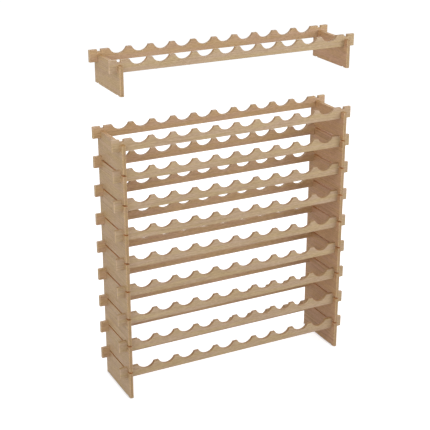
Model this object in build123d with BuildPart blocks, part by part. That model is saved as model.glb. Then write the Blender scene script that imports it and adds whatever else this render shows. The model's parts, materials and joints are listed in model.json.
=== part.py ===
from build123d import *

import os

# A stacking wine rack in planed softwood. Every tier is two scalloped rails laid across two side
# boards, joined by cross laps with no fasteners. The boards of each tier stand in slots in the
# rails of the tier below. All sizes are in millimetres, +X is to the right, +Y to the back, +Z up,
# and the origin is on the floor under the middle of the rack.

# Tiers
tier_count = 10
lifted_tiers = 1  # tiers at the top that are shown taken off
lift_height = 178.0  # how far the top tier is held above its seat

# Side boards
board_thickness = 15.0
board_depth = 254.0
board_height = 111.5

# Scalloped rails
rail_thickness = 14.0
rail_height = 46.5
rail_setback = 22.5  # from the end of the boards to the face of the rail
rail_end = 32.0  # length of rail that shows outside each board

# Bottle seats cut in the top of the rails
seats_per_rail = 10
seat_pitch = 90.0
seat_radius = 38.5
seat_depth = 22.5
seat_margin = 69.0  # from the middle of the last seat to the inner face of the board

# Cross lap between a rail and its own boards
rail_lap = 16.0  # slot cut up into the rail
board_lap = 12.0  # notch cut down into the board

# Stacking joint between a board and the rails of the tier below
stack_slot = 8.5  # slot cut down into the rail
stack_notch = 3.0  # notch cut up into the board
lap_clearance = 0.15  # play on each side of a board or rail in its slot

# Places that follow from those sizes
board_x = (seats_per_rail - 1) / 2 * seat_pitch + seat_margin + board_thickness / 2
rail_y = board_depth / 2 - rail_setback - rail_thickness / 2
rail_length = 2 * (board_x + board_thickness / 2 + rail_end)
rail_underside = board_height - board_lap - rail_lap
tier_pitch = rail_underside + rail_height - stack_slot - stack_notch
board_slot_width = board_thickness + 2 * lap_clearance
rail_slot_width = rail_thickness + 2 * lap_clearance


def tier_floor(tier):
    """Height of the underside of a tier's boards. Tiers are counted from 1 at the bottom."""
    lift = lift_height if tier > tier_count - lifted_tiers else 0
    return (tier - 1) * tier_pitch + lift


def scalloped_rail(y, underside):
    """A rail with bottle seats along its top and a slot above and below at each board."""
    profile_plane = Plane(origin=(0, y, underside), x_dir=(1, 0, 0), z_dir=(0, -1, 0))
    with BuildPart() as rail:
        with BuildSketch(profile_plane):
            Rectangle(rail_length, rail_height, align=(Align.CENTER, Align.MIN))
            with Locations((0, rail_height - seat_depth + seat_radius)):
                with GridLocations(seat_pitch, seat_pitch, seats_per_rail, 1):
                    Circle(seat_radius, mode=Mode.SUBTRACT)
            with Locations((-board_x, 0), (board_x, 0)):
                Rectangle(
                    board_slot_width, rail_lap, align=(Align.CENTER, Align.MIN), mode=Mode.SUBTRACT
                )
            with Locations((-board_x, rail_height), (board_x, rail_height)):
                Rectangle(
                    board_slot_width, stack_slot, align=(Align.CENTER, Align.MAX), mode=Mode.SUBTRACT
                )
        extrude(amount=rail_thickness / 2, both=True)
    return rail.part


def side_board(x, floor):
    """A board with notches in its top for its own rails and in its foot for the rails below."""
    profile_plane = Plane(origin=(x, 0, floor), x_dir=(0, 1, 0), z_dir=(1, 0, 0))
    with BuildPart() as board:
        with BuildSketch(profile_plane):
            Rectangle(board_depth, board_height, align=(Align.CENTER, Align.MIN))
            with Locations((-rail_y, board_height), (rail_y, board_height)):
                Rectangle(
                    rail_slot_width, board_lap, align=(Align.CENTER, Align.MAX), mode=Mode.SUBTRACT
                )
            with Locations((-rail_y, 0), (rail_y, 0)):
                Rectangle(
                    rail_slot_width, stack_notch, align=(Align.CENTER, Align.MIN), mode=Mode.SUBTRACT
                )
        extrude(amount=board_thickness / 2, both=True)
    return board.part


def keep(piece, name):
    """Label a finished piece and write it under its own name."""
    piece.label = name
    export_step(piece, f"parts/{name}.step")


os.makedirs("parts", exist_ok=True)
for tier in range(1, tier_count + 1):
    floor = tier_floor(tier)
    for side, x in (("left", -board_x), ("right", board_x)):
        keep(side_board(x, floor), f"tier_{tier:02d}_{side}_board")
    for side, y in (("front", -rail_y), ("back", rail_y)):
        keep(scalloped_rail(y, floor + rail_underside), f"tier_{tier:02d}_{side}_rail")
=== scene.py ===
import json
import math
import random
from functools import partial

import bmesh
import bpy
from mathutils import Matrix, Vector

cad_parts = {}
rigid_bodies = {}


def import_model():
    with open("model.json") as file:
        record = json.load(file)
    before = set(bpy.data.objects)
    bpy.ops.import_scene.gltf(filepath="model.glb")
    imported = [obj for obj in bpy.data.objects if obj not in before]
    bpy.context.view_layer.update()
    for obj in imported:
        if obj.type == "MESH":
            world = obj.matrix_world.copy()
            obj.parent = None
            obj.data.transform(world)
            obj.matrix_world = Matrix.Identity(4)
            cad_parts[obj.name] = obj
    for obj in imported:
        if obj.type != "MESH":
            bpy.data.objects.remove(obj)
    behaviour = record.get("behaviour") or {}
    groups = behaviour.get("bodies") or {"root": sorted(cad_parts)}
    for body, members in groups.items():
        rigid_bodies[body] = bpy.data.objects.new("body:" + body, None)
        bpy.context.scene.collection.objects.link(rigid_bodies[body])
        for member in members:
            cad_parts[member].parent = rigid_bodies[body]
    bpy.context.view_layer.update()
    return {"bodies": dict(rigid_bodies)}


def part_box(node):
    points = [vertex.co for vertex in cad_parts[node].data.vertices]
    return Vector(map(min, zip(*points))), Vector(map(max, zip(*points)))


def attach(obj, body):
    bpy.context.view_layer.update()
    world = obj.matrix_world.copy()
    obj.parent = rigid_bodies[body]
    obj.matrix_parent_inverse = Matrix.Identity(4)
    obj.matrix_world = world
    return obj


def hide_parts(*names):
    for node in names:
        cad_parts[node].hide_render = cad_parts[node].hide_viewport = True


# A stacking wine rack in planed wood. The rails and boards are made again here with eased arrises and
# smooth seats, each in the place of its solid, and they get a solid wood grain that runs through every face.
# Lengths are in metres and colours are sRGB levels from 0 to 255. A tint multiplies the wood's colour, so
# a level above 255 lightens it.

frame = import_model()

# Sizes read from the frame
rail_low, rail_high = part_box("tier_01_front_rail")
board_low, board_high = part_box("tier_01_right_board")
rail_length, rail_thickness, rail_height = rail_high - rail_low
board_thickness, board_depth, board_height = board_high - board_low
board_x = (board_low.x + board_high.x) / 2
rail_y = -(rail_low.y + rail_high.y) / 2

# Bottle seats along the top of a rail
seats_per_rail = 10
seat_pitch = 0.090
seat_radius = 0.0385
seat_depth = 0.0225
seat_segments = 28

# Laps, as deep as they are on the solids
rail_lap = 0.016
board_lap = 0.012
stack_slot = 0.0085
stack_notch = 0.003
lap_clearance = 0.00015
board_slot_width = board_thickness + 2 * lap_clearance
rail_slot_width = rail_thickness + 2 * lap_clearance

# Eased edges
rail_arris = 0.0007
board_arris = 0.0003
arris_segments = 2
end_round = 0.0035
end_segments = 4
round_profile = 0.5
sharp_turn = math.radians(30)
smooth_limit = math.radians(50)

# How far up or down a face looks, from 0 to 1, to count as a seat of a rail or as an edge of a board
seat_slope = 0.1
edge_slope = 0.5

# Tiers whose board tops are open to the light, which get the painted lit tone on their tops instead of the
# painted slit shade
open_tiers = ("tier_09", "tier_10")

# Wood colours
rail_pale = (206, 184, 153)
rail_deep = (168, 141, 107)
board_pale = (206, 179, 143)
board_deep = (165, 136, 99)
pore_brown = (126, 98, 68)

# Tints of the whole wood, in drifts
yellow_tint = (255, 251, 235)
pink_tint = (255, 249, 251)

# Tints of single faces: sawn and end-grain tones, painted shade, painted bounce light and a painted highlight
no_tint = (255, 255, 255)
# Rail seats and peaks: partly their sawn tone, partly painted shade from the tiers above
sawn_and_painted_shade_tint = (222, 205, 183)
rail_end_tint = (246, 239, 231)
board_end_tint = (237, 232, 224)
# Board tops: a paler painted lit tone on open tiers, a redder painted slit shade on covered ones
painted_lit_top_tint = (238, 221, 190)
painted_slit_shade_tint = (248, 209, 170)
# Board feet: a deep red painted shade, as seen in the slits between boards
painted_foot_shade_tint = (225, 160, 115)
# A painted highlight on the rounded upright ends
painted_highlight_tint = (275, 275, 276)
# Faces looking into the rack: painted warm bounce light and shade
rail_inner_painted_bounce_tint = (261, 253, 248)
board_inner_painted_bounce_tint = (255, 241, 238)

# Where in a log the pieces are cut: from how long a log, and how far from its middle
grain_seed = 10
log_length = 4.0
nearest_cut = 0.07
farthest_cut = 0.16

# Growth rings: their number in a metre, how far they sway, how unevenly they follow and how late they darken
rings_per_metre = 190.0
ring_sway = 0.016
pace_scale = 55.0
pace_detail = 1.0
pace_change = 2.2
late_wood_power = 2.5

# How strongly the growth rings show, and the share of that where they are faint
rail_figure = 0.45
board_figure = 0.62
faint_share = 0.3

# Noises in the wood: waves per metre along, across and through a piece, then detail and roughness
sway_noise = ((2.2, 14.0, 14.0), 2.0, 0.5)
drift_noise = ((5.0, 16.0, 16.0), 2.0, 0.5)
hue_noise = ((6.0, 60.0, 60.0), 2.0, 0.5)
streak_noise = ((4.0, 250.0, 250.0), 3.0, 0.55)
fleck_noise = ((55.0, 260.0, 260.0), 2.0, 0.6)
fibre_noise = ((30.0, 1500.0, 1500.0), 3.0, 0.6)
pore_noise = ((220.0, 3600.0, 3600.0), 1.0, 0.5)
cutter_noise = ((900.0, 900.0, 30.0), 1.0, 0.5)

# Parts of a noise's range that are spread from 0 to 1
soft_band = (0.3, 0.7)
crisp_band = (0.35, 0.65)
pore_band = (0.62, 0.72)

# How much each noise deepens the colour
streak_depth = 0.2
fleck_depth = 0.35
fibre_depth = 0.12
drift_depth = 0.05
pore_depth = 0.28

# Relief and gloss
ring_relief = 0.2
fibre_relief = 0.5
pore_relief = -0.6
cutter_relief = 1.2
bump_strength = 0.35
bump_height = 0.00025
least_roughness = 0.5
fibre_roughness = 0.16
specular_level = 0.5

# Where the camera stood
camera_lens = 90.04
camera_sensor = 36.0
camera_azimuth = math.radians(-26.92)
camera_elevation = math.radians(21.48)
camera_aim = Vector((-0.0448, 0.0, 0.6677))
camera_distance = 4.36

# World and floor
white = (255, 255, 255)
world_light = 0.48
floor_size = 40.0
floor_grey = (190, 190, 193)
floor_glow = 0.80
# How far the floor's painted contact shadow reaches
contact_reach = 0.013

# Soft boxes: name, place, width and watts, all facing one point
soft_boxes = (
    ("left_lamp", (-1.6, -0.8, 2.5), 2.0, 16.0),
    ("front_lamp", (-2.2, -2.4, 1.4), 3.0, 23.0),
    ("right_lamp", (1.8, -1.6, 1.8), 2.0, 28.0),
    ("back_lamp", (1.0, 3.2, 2.2), 3.0, 48.0),
    ("side_lamp", (3.0, 1.0, 1.8), 3.0, 24.0),
)
lamp_aim = Vector((0.0, 0.0, 0.8))

seeded = random.Random(grain_seed)


def linear(colour):
    """An sRGB colour as the linear colour with alpha that a shader takes."""
    shares = [level / 255 for level in colour]
    return [*(c / 12.92 if c <= 0.04045 else ((c + 0.055) / 1.055) ** 2.4 for c in shares), 1.0]


def toward(colour, tint, share):
    """A linear colour part of the way to an sRGB tint."""
    return [here + share * (there - here) for here, there in zip(colour, linear(tint))]


def notch(middle, width, mouth, end):
    """The four corners of a square slot, from left to right."""
    left, right = middle - width / 2, middle + width / 2
    return [(left, mouth), (left, end), (right, end), (right, mouth)]


def seat(middle):
    """A bottle seat's arc from left to right."""
    reach = math.acos(1 - seat_depth / seat_radius)
    turns = [reach * (2 * step / seat_segments - 1) for step in range(seat_segments + 1)]
    bottom = rail_height - seat_depth
    return [
        (middle + seat_radius * math.sin(turn), bottom + seat_radius * (1 - math.cos(turn)))
        for turn in turns
    ]


def rail_outline():
    """A rail seen from the front, counter-clockwise from its lower left corner."""
    half = rail_length / 2
    top = rail_height
    lower = [(-half, 0.0)]
    for x in (-board_x, board_x):
        lower += notch(x, board_slot_width, 0.0, rail_lap)
    lower.append((half, 0.0))
    upper = [(-half, top)]
    upper += notch(-board_x, board_slot_width, top, top - stack_slot)
    for index in range(seats_per_rail):
        upper += seat((index - (seats_per_rail - 1) / 2) * seat_pitch)
    upper += notch(board_x, board_slot_width, top, top - stack_slot)
    upper.append((half, top))
    return lower + upper[::-1]


def board_outline():
    """A board seen from the right, counter-clockwise from the foot of its front end."""
    half = board_depth / 2
    lower = [(-half, 0.0)]
    upper = [(-half, board_height)]
    for y in (-rail_y, rail_y):
        lower += notch(y, rail_slot_width, 0.0, stack_notch)
        upper += notch(y, rail_slot_width, board_height, board_height - board_lap)
    lower.append((half, 0.0))
    upper.append((half, board_height))
    return lower + upper[::-1]


def ease(form, edges, width, segments):
    """Round some edges of a form."""
    bmesh.ops.bevel(
        form,
        geom=edges,
        offset=width,
        offset_type="OFFSET",
        segments=segments,
        profile=round_profile,
        affect="EDGES",
        clamp_overlap=True,
    )
    form.normal_update()


def eased_prism(outline, thickness, arris):
    """A bmesh of an outline given thickness, its upright ends rounded and its other outer edges eased.

    The outline is in X and Z.
    """
    form = bmesh.new()
    rings = []
    for y in (-thickness / 2, thickness / 2):
        rings.append([form.verts.new((x, y, z)) for x, z in outline])
    front, back = rings
    form.faces.new(front)
    form.faces.new(back[::-1])
    for here in range(len(outline)):
        there = (here + 1) % len(outline)
        form.faces.new((front[there], front[here], back[here], back[there]))
    form.normal_update()
    far_end = max(vertex.co.x for vertex in front)
    upright = []
    for ring in rings:
        at_end = {vertex for vertex in ring if abs(vertex.co.x) == far_end}
        upright += [edge for edge in form.edges if at_end.issuperset(edge.verts)]
    ease(form, upright, end_round, end_segments)
    outer = [edge for edge in form.edges if edge.calc_face_angle_signed() > sharp_turn]
    ease(form, outer, arris, arris_segments)
    return form


def log_place():
    """Where in its log a piece was cut: how far along, and how far and which way from the middle."""
    far = seeded.uniform(nearest_cut, farthest_cut)
    way = seeded.uniform(0.0, 2 * math.pi)
    along = seeded.uniform(0.0, log_length)
    return Vector((along, far * math.cos(way), far * math.sin(way)))


def rail_cut(face):
    """How sawn a face of a rail is, and its tint: the seats and the peaks between them get a darker tint,
    partly their sawn tone and partly painted shade from the tiers above.
    """
    sawn = 1.0 - abs(face.normal.y)
    if face.normal.z > seat_slope and abs(face.center.x) < board_x:
        return sawn, sawn_and_painted_shade_tint
    return sawn, rail_end_tint


def board_cut(painted_top_tint, face):
    """How sawn a face of a board is, and its tint: end grain at the ends, painted shade on the feet, and on
    the tops a painted lit tone or a painted slit shade.
    """
    sawn = 1.0 - abs(face.normal.y)
    if face.normal.z > edge_slope:
        return sawn, painted_top_tint
    if face.normal.z < -edge_slope:
        return sawn, painted_foot_shade_tint
    return sawn, board_end_tint


def piece_mesh(name, form, turn, cut, painted_inside_tint, inward):
    """A mesh of one piece. It keeps where the piece lay in its log, and how each face was cut and tinted. The
    tints hold painted shade, painted bounce light and painted highlights.

    inward is 1 or -1, the way in Y that looks into the rack before the piece is turned.
    """
    mesh = bpy.data.meshes.new(name)
    form.to_mesh(mesh)
    origin = log_place()
    in_log = mesh.attributes.new("in_log", "FLOAT_VECTOR", "POINT")
    for vertex, stored in zip(mesh.vertices, in_log.data):
        along, through, across = vertex.co
        stored.vector = origin + Vector((along, across, through))
    sawn = mesh.attributes.new("sawn", "FLOAT", "FACE")
    tint = mesh.attributes.new("tint", "FLOAT_COLOR", "FACE")
    for face in mesh.polygons:
        share, cut_tint = cut(face)
        sawn.data[face.index].value = share
        # Faces looking into the rack get painted warm bounce light and shade
        face_tint = toward(linear(no_tint), painted_inside_tint, max(0.0, inward * face.normal.y))
        # The cut tint: sawn and end-grain tones, with painted shade on rail seats and on board tops and feet
        face_tint = toward(face_tint, cut_tint, share)
        # The rounded upright ends get a pale painted highlight, most of all halfway round
        painted_highlight = 2 * abs(face.normal.x * face.normal.y)
        tint.data[face.index].color = toward(face_tint, painted_highlight_tint, painted_highlight)
    mesh.transform(turn)
    mesh.shade_smooth()
    mesh.set_sharp_from_angle(angle=smooth_limit)
    return mesh


class Shader:
    """A material's nodes, added one at a time. An input given a socket is linked, and else it is set."""

    def __init__(self, tree):
        self.tree = tree
        self.tree.nodes.clear()

    def feed(self, socket, value):
        if isinstance(value, bpy.types.NodeSocket):
            self.tree.links.new(value, socket)
        else:
            socket.default_value = value

    def add(self, kind, inputs=None, **settings):
        made = self.tree.nodes.new(kind)
        for key, value in settings.items():
            setattr(made, key, value)
        for key, value in (inputs or {}).items():
            self.feed(made.inputs[key], value)
        return made

    def attribute(self, name, output):
        return self.add("ShaderNodeAttribute", attribute_name=name).outputs[output]

    def math(self, operation, *values):
        inputs = dict(enumerate(values))
        return self.add("ShaderNodeMath", inputs, operation=operation).outputs[0]

    def plus(self, total, value, share):
        """A total and a share of a value."""
        return self.math("MULTIPLY_ADD", value, share, total)

    def stretch(self, vector, scale):
        inputs = {0: vector, 1: scale}
        return self.add("ShaderNodeVectorMath", inputs, operation="MULTIPLY").outputs[0]

    def noise(self, vector, scale, detail, roughness):
        placed = self.stretch(vector, scale)
        inputs = {"Vector": placed, "Scale": 1.0, "Detail": detail, "Roughness": roughness}
        return self.add("ShaderNodeTexNoise", inputs).outputs["Fac"]

    def ramp(self, value, low, high, to_low=0.0, to_high=1.0):
        inputs = {"Value": value, "From Min": low, "From Max": high, "To Min": to_low, "To Max": to_high}
        return self.add("ShaderNodeMapRange", inputs, interpolation_type="SMOOTHSTEP").outputs["Result"]

    def mix(self, factor, first, second, blend="MIX"):
        made = self.add("ShaderNodeMix", data_type="RGBA", blend_type=blend)
        sockets = {socket.identifier: socket for socket in [*made.inputs, *made.outputs]}
        self.feed(sockets["Factor_Float"], factor)
        self.feed(sockets["A_Color"], first)
        self.feed(sockets["B_Color"], second)
        return sockets["Result_Color"]

    def seen(self):
        """1 for a ray from the camera, from gloss or through glass, and 0 for the light on the rack."""
        path = self.add("ShaderNodeLightPath").outputs
        seen = self.math("MAXIMUM", path["Is Camera Ray"], path["Is Glossy Ray"])
        return self.math("MAXIMUM", seen, path["Is Transmission Ray"])


def growth_rings(s, log):
    """How late in its year the wood grew, from 0 to 1, in wavy rings about the middle of the log."""
    across_log = s.stretch(log, (0.0, 1.0, 1.0))
    radius = s.add("ShaderNodeVectorMath", {0: across_log}, operation="LENGTH").outputs["Value"]
    swayed = s.plus(radius, s.noise(log, *sway_noise), ring_sway)
    inputs = {"W": swayed, "Scale": pace_scale, "Detail": pace_detail}
    pace = s.add("ShaderNodeTexNoise", inputs, noise_dimensions="1D").outputs["Fac"]
    count = s.plus(s.math("MULTIPLY", swayed, rings_per_metre), pace, pace_change)
    return s.math("POWER", s.math("FRACT", count), late_wood_power)


def wood(name, pale, deep, figure):
    """Planed wood: growth rings, streaks, flecks, fibres, pores and slow drifts of colour, tinted by face,
    where the face tints include painted shade, painted bounce light and painted highlights.
    """
    material = bpy.data.materials.new(name)
    material.use_nodes = True
    s = Shader(material.node_tree)
    log = s.attribute("in_log", "Vector")
    late_wood = growth_rings(s, log)
    fibres = s.noise(log, *fibre_noise)
    drift = s.noise(log, *drift_noise)
    pores = s.ramp(s.noise(log, *pore_noise), *pore_band)

    # Colour, from pale to deep
    depth = s.math("MULTIPLY", late_wood, s.ramp(drift, *crisp_band, faint_share * figure, figure))
    depth = s.plus(depth, s.ramp(s.noise(log, *streak_noise), *soft_band), streak_depth)
    depth = s.plus(depth, s.ramp(s.noise(log, *fleck_noise), *crisp_band), fleck_depth)
    depth = s.plus(depth, s.ramp(fibres, *soft_band), fibre_depth)
    depth = s.plus(depth, s.ramp(drift, *soft_band), drift_depth)
    colour = s.mix(depth, linear(pale), linear(deep))
    hue = s.ramp(s.noise(log, *hue_noise), *crisp_band)
    colour = s.mix(1.0, colour, s.mix(hue, linear(yellow_tint), linear(pink_tint)), "MULTIPLY")
    colour = s.mix(s.math("MULTIPLY", pores, pore_depth), colour, linear(pore_brown))
    # Each face's tint, which holds painted shade, painted bounce light and painted highlights
    colour = s.mix(1.0, colour, s.attribute("tint", "Color"), "MULTIPLY")

    # Rings, fibres and pores in relief, and cutter marks across the sawn faces
    cutter = s.math("MULTIPLY", s.noise(log, *cutter_noise), s.attribute("sawn", "Fac"))
    relief = s.math("MULTIPLY", late_wood, ring_relief)
    relief = s.plus(relief, fibres, fibre_relief)
    relief = s.plus(relief, pores, pore_relief)
    relief = s.plus(relief, cutter, cutter_relief)
    bump = s.add("ShaderNodeBump", {"Height": relief, "Strength": bump_strength, "Distance": bump_height})
    surface = s.add(
        "ShaderNodeBsdfPrincipled",
        {
            "Base Color": colour,
            "Roughness": s.plus(least_roughness, fibres, fibre_roughness),
            "Specular IOR Level": specular_level,
            "Normal": bump.outputs["Normal"],
        },
    )
    s.add("ShaderNodeOutputMaterial", {"Surface": surface.outputs[0]})
    return material


def place(mesh, node, body, material):
    """Stand a piece where its solid is."""
    low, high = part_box(node)
    piece = bpy.data.objects.new(f"{node}_wood", mesh)
    piece.location = ((low.x + high.x) / 2, (low.y + high.y) / 2, low.z)
    bpy.context.scene.collection.objects.link(piece)
    piece.data.materials.append(material)
    flat_faces = piece.modifiers.new("flat_faces", "WEIGHTED_NORMAL")
    flat_faces.keep_sharp = True
    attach(piece, body)
    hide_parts(node)


def build_rack():
    """Every rail and board, tier by tier."""
    rail_form = eased_prism(rail_outline(), rail_thickness, rail_arris)
    board_form = eased_prism(board_outline(), board_thickness, board_arris)
    as_rail = Matrix.Identity(4)
    as_board = Matrix.Rotation(math.pi / 2, 4, "Z")
    rail_material = wood("rail_wood", rail_pale, rail_deep, rail_figure)
    board_material = wood("board_wood", board_pale, board_deep, board_figure)
    for body in sorted(frame["bodies"]):
        for side, inward in (("front", 1), ("back", -1)):
            node = f"{body}_{side}_rail"
            mesh = piece_mesh(node, rail_form, as_rail, rail_cut, rail_inner_painted_bounce_tint, inward)
            place(mesh, node, body, rail_material)
        cut = partial(board_cut, painted_lit_top_tint if body in open_tiers else painted_slit_shade_tint)
        for side, inward in (("left", -1), ("right", 1)):
            node = f"{body}_{side}_board"
            mesh = piece_mesh(node, board_form, as_board, cut, board_inner_painted_bounce_tint, inward)
            place(mesh, node, body, board_material)
    rail_form.free()
    board_form.free()


def white_floor():
    """A plain floor that looks white to the camera and still takes the shadow, with a painted contact shadow
    where the rack stands close.
    """
    mesh = bpy.data.meshes.new("floor")
    half = floor_size / 2
    corners = [(-half, -half, 0.0), (half, -half, 0.0), (half, half, 0.0), (-half, half, 0.0)]
    mesh.from_pydata(corners, [], [(0, 1, 2, 3)])
    floor = bpy.data.objects.new("floor", mesh)
    bpy.context.scene.collection.objects.link(floor)
    material = bpy.data.materials.new("floor_white")
    material.use_nodes = True
    s = Shader(material.node_tree)
    matt = s.add("ShaderNodeBsdfDiffuse", {"Color": linear(floor_grey)})
    # A painted contact shadow: the floor's glow dims where the rack is near
    painted_contact_shadow = s.add("ShaderNodeAmbientOcclusion", {"Distance": contact_reach}).outputs["AO"]
    strength = s.math("MULTIPLY", s.math("MULTIPLY", s.seen(), floor_glow), painted_contact_shadow)
    glow = s.add("ShaderNodeEmission", {"Color": linear(white), "Strength": strength})
    both = s.add("ShaderNodeAddShader", {0: matt.outputs[0], 1: glow.outputs[0]})
    s.add("ShaderNodeOutputMaterial", {"Surface": both.outputs[0]})
    mesh.materials.append(material)


def white_world():
    """White to the camera, and a soft even light on the rack."""
    world = bpy.data.worlds.new("studio")
    world.use_nodes = True
    bpy.context.scene.world = world
    s = Shader(world.node_tree)
    strength = s.plus(world_light, s.seen(), 1.0 - world_light)
    sky = s.add("ShaderNodeBackground", {"Color": linear(white), "Strength": strength})
    s.add("ShaderNodeOutputWorld", {"Surface": sky.outputs[0]})


def soft_lamp(name, spot, width, watts):
    """A square soft box that faces the rack."""
    data = bpy.data.lights.new(name, "AREA")
    data.shape = "SQUARE"
    data.size = width
    data.energy = watts
    lamp = bpy.data.objects.new(name, data)
    lamp.location = spot
    lamp.rotation_euler = (lamp_aim - Vector(spot)).to_track_quat("-Z", "Y").to_euler()
    lamp.visible_camera = False
    bpy.context.scene.collection.objects.link(lamp)


def photo_camera():
    """The camera at the photograph's angle."""
    back = Vector(
        (
            math.sin(camera_azimuth) * math.cos(camera_elevation),
            -math.cos(camera_azimuth) * math.cos(camera_elevation),
            math.sin(camera_elevation),
        )
    )
    data = bpy.data.cameras.new("camera")
    data.sensor_width = camera_sensor
    data.lens = camera_lens
    camera = bpy.data.objects.new("camera", data)
    camera.location = camera_aim + back * camera_distance
    camera.rotation_euler = back.to_track_quat("Z", "Y").to_euler()
    bpy.context.scene.collection.objects.link(camera)
    bpy.context.scene.camera = camera


build_rack()
white_floor()
white_world()
for name, spot, width, watts in soft_boxes:
    soft_lamp(name, spot, width, watts)
photo_camera()
bpy.context.scene.view_settings.view_transform = "Standard"

bpy.context.view_layer.update()
